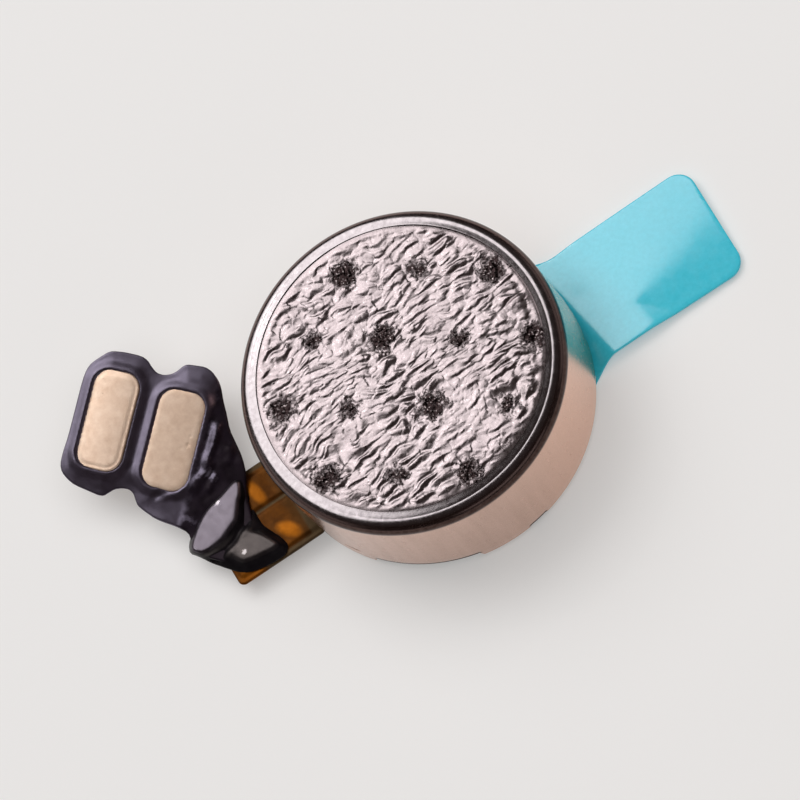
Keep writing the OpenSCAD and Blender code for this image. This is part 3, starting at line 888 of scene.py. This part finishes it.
# ------------------------------------------------------------------ tail --
def tail():
    a0 = math.degrees(math.asin(1.0 / 3.4))
    loop = [(3.4 * math.cos(math.radians(a)), 3.4 * math.sin(math.radians(a))) for a in np.linspace(-180 + a0, 180 - a0, 120)]
    loop = [tuple(p) for p in loop]
    loop += [(-3.60, 1.0), (-3.66, 1.03)]
    rect = rect_loop(-6.20, -1.23, -3.72, 1.23, 0.16)
    # take the rectangle's corners in order: +x+y, -x+y, -x-y, +x-y
    loop += [tuple(p) for p in rect]
    loop += [(-3.66, -1.03), (-3.60, -1.0)]

    def wave(x, y):
        out = smooth(-4.0, -4.5, x)
        return out * (0.012 * fbm(x * 0.8, y * 0.8, 401, 2))

    ob = film("tail_film", loop, 0.085, 0.04, lambda x, y: 0.298 + wave(x, y), lambda x, y: 0.205 + wave(x, y),
              flat_case, "amber_film", holes=[circle_loop(0.75, 48)])
    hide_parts("motor_film")
    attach(ob, "motor")

    # cover film, pressed down over two copper lands
    def relief(x, y):
        land_a = signed(x, y, rect_loop(-6.10, 0.17, -3.40, 1.05, 0.10))
        land_b = signed(x, y, rect_loop(-6.10, -1.09, -3.40, 0.09, 0.10))
        h = 0.030 * smooth(-0.03, 0.09, land_a) + 0.030 * smooth(-0.03, 0.09, land_b)
        # the lands are not quite flat: each has one long low swelling
        q = np.hypot((x + 4.70 + 0.16 * (y - 0.6)) / 0.20, (y - 0.58) / 0.52)
        h += 0.020 * np.exp(-(q**2))
        q = np.hypot((x + 4.47 + 0.55 * (y + 0.70)) / 0.24, (y + 0.70) / 0.30)
        h += 0.020 * np.exp(-(q**2))
        h -= 0.016 * np.exp(-(((x + 4.30) / 0.16) ** 2 + ((y - 0.62) / 0.5) ** 2))
        h += 0.006 * fbm(x * 2.4, y * 2.4, 431, 2)
        return h

    top = rect_loop(-6.18, -1.215, -3.70, 1.215, 0.15)
    cover = film("tail_cover", top, 0.045, 0.035, lambda x, y: 0.318 + relief(x, y), lambda x, y: 0.296 + 0 * x,
                 flat_case, "amber_film")
    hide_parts("film_cover")
    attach(cover, "motor")
    return ob, cover


# ------------------------------------------------------------ contact lead --
TILT = math.radians(12)
FOLD_Y, FOLD_Z = 0.6, 0.42 + LIFT
_v = np.linspace(-2.5, 6.0, 1701)
_ang = TILT * smooth(-0.25, 0.25, _v)
_dy, _dz = np.cos(_ang), np.sin(_ang)
_y = np.concatenate([[0], np.cumsum((_dy[1:] + _dy[:-1]) / 2 * np.diff(_v))])
_z = np.concatenate([[0], np.cumsum((_dz[1:] + _dz[:-1]) / 2 * np.diff(_v))])
_k = np.searchsorted(_v, 2.8)
_y += FOLD_Y + 2.8 * math.cos(TILT) - _y[_k]
_z += FOLD_Z + 2.8 * math.sin(TILT) - _z[_k]


def on_lead(x, v, h):
    """Lead frame to space: x along the fold, v up the lead, h out of its face."""
    a = np.interp(v, _v, _ang)
    return np.stack([x, np.interp(v, _v, _y) - h * np.sin(a), np.interp(v, _v, _z) + h * np.cos(a)], 1)


C43, S43 = math.cos(math.radians(43)), math.sin(math.radians(43))


def to_pads(x, v):
    """Lead frame to pad frame: w along a pad, s across the pair."""
    dx, dv = x + 6.24, v - 2.80
    return dx * C43 + dv * S43, -dx * S43 + dv * C43


def from_pads(w, s):
    w, s = np.asarray(w, float), np.asarray(s, float)
    return -6.24 + w * C43 - s * S43, 2.80 + w * S43 + s * C43


def pad_loop(side, grow=0.0):
    """Pad outline in the lead frame. side is 1 for the outer pad, -1 for the inner one."""
    w0, s0 = 0.05 * side, 0.85 * side
    p = rect_loop(w0 - 1.225 - grow, s0 - 0.6 - grow, w0 + 1.225 + grow, s0 + 0.6 + grow, 0.40 + grow, 7)
    x, v = from_pads(p[:, 0], p[:, 1])
    return np.stack([x, v], 1)


HEAD = [(1.17, 1.72), (0.87, 1.76), (0.44, 1.76), (0.26, 1.69), (0.12, 1.55), (-0.04, 1.44), (-0.22, 1.43),
        (-0.40, 1.50), (-0.52, 1.61), (-0.62, 1.75), (-0.71, 1.81), (-0.90, 1.83), (-1.16, 1.85), (-1.35, 1.78),
        (-1.55, 1.61), (-1.67, 1.43), (-1.77, 1.19)]
STEM_R = [(-4.30, 1.91), (-4.42, 1.61), (-4.47, 1.25), (-4.52, 0.85), (-4.66, 0.45), (-4.90, 0.10),
          (-5.05, -0.40), (-5.30, -1.30), (-6.05, -1.30), (-6.50, -0.80), (-6.74, -0.42), (-6.66, -0.20),
          (-6.60, 0.05), (-6.76, 0.33), (-7.02, 0.67), (-7.14, 0.88)]
FOOT = [(-0.79, -1.96), (-0.55, -1.87), (-0.37, -1.78), (-0.28, -1.65), (-0.20, -1.52), (-0.07, -1.45), (0.10, -1.46),
        (0.28, -1.53), (0.39, -1.64), (0.49, -1.74), (0.62, -1.76), (0.85, -1.72), (1.26, -1.65), (1.46, -1.56),
        (1.65, -1.42), (1.74, -1.24), (1.75, -0.95), (1.72, -0.55), (1.72, 0.09), (1.72, 0.87), (1.68, 1.16),
        (1.60, 1.33), (1.43, 1.51), (1.29, 1.65)]
LEAD = [tuple(from_pads(w, s)) for s, w in HEAD] + STEM_R + [tuple(from_pads(w, s)) for s, w in FOOT]
LEAD = round_loop(LEAD, 1)[::-1]
PAD_A, PAD_B = pad_loop(1), pad_loop(-1)
# crease lines of the crumpled neck in the lead frame: points, height, half width
CREASES = [  # points, height, width of the broad face, width of the steep one
    ([(-4.46, 1.95), (-4.70, 1.66), (-4.90, 1.50), (-5.24, 1.24), (-5.45, 1.05)], 0.080, 0.22, 0.09),
    ([(-5.10, 1.18), (-5.40, 1.02), (-5.72, 0.94), (-6.02, 0.66)], 0.070, 0.22, 0.08),
    ([(-5.18, 0.86), (-5.42, 0.74), (-5.72, 0.56)], 0.045, 0.16, 0.07),
    ([(-4.56, 1.30), (-4.70, 1.06), (-4.92, 0.84)], 0.040, 0.18, 0.08),
    ([(-6.92, 1.30), (-6.55, 1.20), (-6.15, 1.10)], -0.030, 0.14, 0.12),
]


def lead_face(x, v):
    w, s = to_pads(x, v)
    da, db = signed(x, v, PAD_A), signed(x, v, PAD_B)
    near = np.maximum(da, db)
    # the film stands up round the pads and falls away from them
    h = 0.048 * smooth(-0.26, -0.02, near)
    # it dips again over the pads themselves
    h = np.where(near > 0, 0.048 - 0.092 * smooth(0.0, 0.06, near), h)
    # rolled-down outline
    rim = np.maximum(to_loop(x, v, LEAD)[0], 0)
    h -= 0.050 * (1 - smooth(0.0, 0.42, rim)) * smooth(0.6, 1.3, v)
    neck = smooth(-1.42, -1.62, s) * smooth(-0.1, 0.25, v)
    for line, height, broad, steep in CREASES:
        d, along, side = to_line(x, v, line)
        taper = smooth(0, 0.22, along) * smooth(1, 0.78, along)
        wide = np.where(side < 0, broad, steep)
        h += height * (1 - smooth(0.0, 1.0, d / wide * 0.9)) * taper
    h += neck * (0.030 * fbm(x * 1.7 + 3, v * 1.7, 505, 2) + 0.007 * fbm(x * 5, v * 5, 507, 2))
    h += 0.004 * fbm(x * 1.4, v * 1.4, 511, 2)
    return h


def lead():
    def top(x, v):
        return 0.05 + lead_face(x, v)

    def bottom(x, v):
        w, s = to_pads(x, v)
        neck = smooth(-1.5, -1.8, s)
        return -0.05 + neck * (lead_face(x, v) * 0.8) - (1 - neck) * 0.0

    ob = film("contact_lead", LEAD, 0.05, 0.05, top, bottom, on_lead, "lead_film")
    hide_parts("lead_root", "lead_head")
    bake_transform(ob)
    out = [ob]
    for side, name, node in ((1, "pad_outer", "contact_pad_positive"), (-1, "pad_inner", "contact_pad_negative")):
        lp = pad_loop(side)

        def dome(x, v, side=side, lp=lp):
            w, s = to_pads(x, v)
            c = s - 0.85 * side
            d = np.maximum(to_loop(x, v, lp)[0], 0)
            if side > 0:
                h = 0.115 - 0.118 * c - 0.078 * c * c
                # lifted lip along the inner and lower edges
                lip = smooth(0.10, 0.0, d) * smooth(0.15, -0.35, c + 0.25 * w)
                h = h - 0.010 * smooth(0.16, 0.06, d) + 0.012 * lip
            else:
                h = 0.088 - 0.041 * c - 0.030 * c * c
                h = h - 0.008 * smooth(0.12, 0.0, d)
            h = h + 0.0022 * fbm(x * 2.2, v * 2.2, 601, 3)
            # a few small pits
            for px, pv, pr in ((-5.46, 1.83, 0.035), (-5.66, 1.86, 0.022), (-5.30, 1.98, 0.02)):
                if side < 0:
                    h = h - 0.010 * np.exp(-(((x - px) ** 2 + (v - pv) ** 2) / pr**2))
            return h

        pad = film(name, lp, 0.04, 0.035, dome, lambda x, v: 0.02 + 0 * x, on_lead, "gold_plate")
        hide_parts(node)
        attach(pad, "contact_head")
        out.append(pad)
    return out


# ---------------------------------------------------------------- potting --
POT = [(-4.64, 1.30), (-4.72, 1.12), (-4.78, 0.93), (-4.90, 0.60), (-4.98, 0.30), (-4.98, 0.05), (-4.98, -0.22), (-4.90, -0.42),
       (-4.74, -0.78), (-4.70, -1.04), (-4.86, -1.19), (-5.08, -1.21), (-5.50, -1.16), (-5.86, -1.06), (-6.09, -0.87),
       (-6.36, -0.52), (-6.66, -0.06), (-6.84, 0.20), (-6.76, 0.42), (-6.50, 0.66), (-6.10, 0.90), (-5.60, 1.10),
       (-5.10, 1.26)]
RIDGE = [(-6.80, 0.20), (-6.62, -0.10), (-6.02, -0.20), (-5.50, -0.02), (-5.22, 0.26), (-5.04, 0.60), (-4.84, 0.94),
         (-4.98, 1.06), (-5.50, 0.90), (-5.84, 0.86), (-6.20, 0.70)]
BLOB = [(-5.80, -0.20), (-5.88, -0.80), (-5.58, -0.90), (-5.00, -1.02), (-4.84, -0.96), (-5.08, -0.48), (-5.32, -0.30)]


def pot():
    ridge, blob = round_loop(RIDGE, 2), round_loop(BLOB, 2)

    def top(x, y):
        d = np.maximum(to_loop(x, y, POT)[0], 0)
        z = 0.37 + 0.24 * (1 - np.clip(1 - d / 0.55, 0, 1) ** 1.7)
        m = smooth(-0.15, 0.08, signed(x, y, ridge))
        z = z * (1 - m) + m * np.maximum(z, 0.645 + 0.045 * (x + 5.9) - 0.075 * (y - 0.4) + 0.003 * fbm(x * 2, y * 2, 703, 2))
        m = smooth(-0.14, 0.08, signed(x, y, blob))
        z = z * (1 - m) + m * np.maximum(z * 0.9, 0.585 + 0.03 * (x + 5.4) - 0.03 * (y + 0.6) + 0.006 * fbm(x * 2.4, y * 2.4, 705, 2))
        # a trough parts the two, where nothing faces up
        t = to_line(x, y, [(-6.5, -0.30), (-5.9, -0.22), (-5.35, 0.02), (-5.05, 0.42)])[0]
        z = z - 0.13 * np.exp(-((t / 0.12) ** 2))
        # two small nubs where the potting drew off the needle
        for (px, py), high in zip(NUBS, (0.0045, 0.0095)):
            z = z + high * np.exp(-(((x - px) ** 2 + (y - py) ** 2) / 0.09**2))
        return z

    ob = film("potting", round_loop(POT, 1)[::-1], 0.05, 0.10, top, lambda x, y: 0.34 + 0 * x, flat_case, "potting",
              rings=(0.1, 0.3, 0.6, 1.0))
    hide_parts("glue_bead")
    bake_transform(ob)
    return ob


case_shell()
foil_disc()
liner()
tail()
lead()
pot()

# ------------------------------------------------- carried-over CAD nodes --
KEEP = {
    "base_bracket": "bracket_steel", "shaft": "shaft_steel", "lower_washer": "washer_film",
    "upper_washer": "washer_film", "magnet_ring": "magnet", "film_copper": "copper",
    "brush_positive": "brush_alloy", "brush_negative": "brush_alloy", "base_adhesive": "adhesive",
    "solder_joints": "solder", "rotor_bearing": "bearing_bronze", "rotor_board": "board",
    "commutator_segments": "gold_plate", "coil_left": "winding", "coil_right": "winding",
    "counterweight": "tungsten", "rotor_mould": "mould_resin", "contact_stiffener": "stiffener",
}
for node, paint in KEEP.items():
    ob = NODES[node]
    ob.data.materials.clear()
    ob.data.materials.append(PAINT[paint])

# ------------------------------------------------------------------ stage --
floor_mesh = bpy.data.meshes.new("floor")
floor_mesh.from_pydata([(-0.5, -0.5, -2e-6), (0.5, -0.5, -2e-6), (0.5, 0.5, -2e-6), (-0.5, 0.5, -2e-6)], [], [(0, 1, 2, 3)])
floor = bpy.data.objects.new("floor", floor_mesh)
SCENE.collection.objects.link(floor)
fp = Paint("floor", Roughness=0.9)
fp.drive("Base Color", (0.62, 0.615, 0.61, 1))
fp.drive("Specular IOR Level", 0.0)
fp.drive("Emission Color", (1.0, 0.985, 0.97, 1))
fp.drive("Emission Strength", 0.27)
floor_mesh.materials.append(fp.mat)

world = bpy.data.worlds.new("studio")
world.use_nodes = True
world.node_tree.nodes["Background"].inputs[0].default_value = (1.0, 0.72, 0.66, 1)
world.node_tree.nodes["Background"].inputs[1].default_value = 0.034
SCENE.world = world

toward = Vector((-0.205, 0.583, 0.786)).normalized()
box_light = bpy.data.lights.new("softbox", "AREA")
box_light.shape = "SQUARE"
box_light.size = 0.235
box_light.color = (1.0, 0.985, 0.985)
box_light.energy = 0.36
lamp = bpy.data.objects.new("softbox", box_light)
lamp.location = toward * 0.30
lamp.rotation_mode = "QUATERNION"
lamp.rotation_quaternion = toward.to_track_quat("Z", "Y")
SCENE.collection.objects.link(lamp)

# the lamp inside the softbox shows as a small brighter core
core_light = bpy.data.lights.new("core", "AREA")
core_light.shape = "DISK"
core_light.size = 0.014
core_light.energy = 0.011
core = bpy.data.objects.new("core", core_light)
core.location = toward * 0.29
core.rotation_mode = "QUATERNION"
core.rotation_quaternion = toward.to_track_quat("Z", "Y")
SCENE.collection.objects.link(core)

# a broad overhead fill for the matt surfaces; metals don't mirror it
fill_light = bpy.data.lights.new("fill", "AREA")
fill_light.shape = "SQUARE"
fill_light.size = 0.40
fill_light.color = (1.0, 0.99, 0.98)
fill_light.energy = 0.62
fill = bpy.data.objects.new("fill", fill_light)
fill.location = (0.04, 0.02, 0.26)
fill.visible_glossy = False
SCENE.collection.objects.link(fill)

# low strips to the near, left and right, so the crown reads as metal from the other sides as well
for name, aim, tall, power in (("kicker_near", (0.20, -0.90, 0.38), 0.10, 0.050),
                               ("kicker_left", (-0.93, 0.10, 0.30), 0.14, 0.045),
                               ("kicker_right", (0.93, 0.10, 0.30), 0.14, 0.045)):
    kick_light = bpy.data.lights.new(name, "AREA")
    kick_light.shape = "RECTANGLE"
    kick_light.size, kick_light.size_y = 0.36, tall
    kick_light.energy = power
    kicker = bpy.data.objects.new(name, kick_light)
    aim = Vector(aim).normalized()
    kicker.location = aim * 0.36
    kicker.rotation_mode = "QUATERNION"
    kicker.rotation_quaternion = aim.to_track_quat("Z", "Y")
    SCENE.collection.objects.link(kicker)

# ----------------------------------------------------------------- camera --
B = Vector((0.0711, -0.4032, 0.9124)).normalized()
R = Vector((0.8280, -0.4862, -0.2794))
R = (R - B * R.dot(B)).normalized()
U = B.cross(R)
cam_data = bpy.data.cameras.new("camera")
cam_data.sensor_width = 36
cam_data.lens = 282.05
cam_data.clip_start = 0.005
cam_data.clip_end = 5
cam = bpy.data.objects.new("camera", cam_data)
SCENE.collection.objects.link(cam)
place = (B * 150 - R * 0.831 + U * 0.150 + Vector((0, 0, 0.2))) * MM
m = Matrix((R, U, B)).transposed().to_4x4()
m.translation = place
cam.matrix_world = m
SCENE.camera = cam
SCENE.view_settings.view_transform = "Standard"
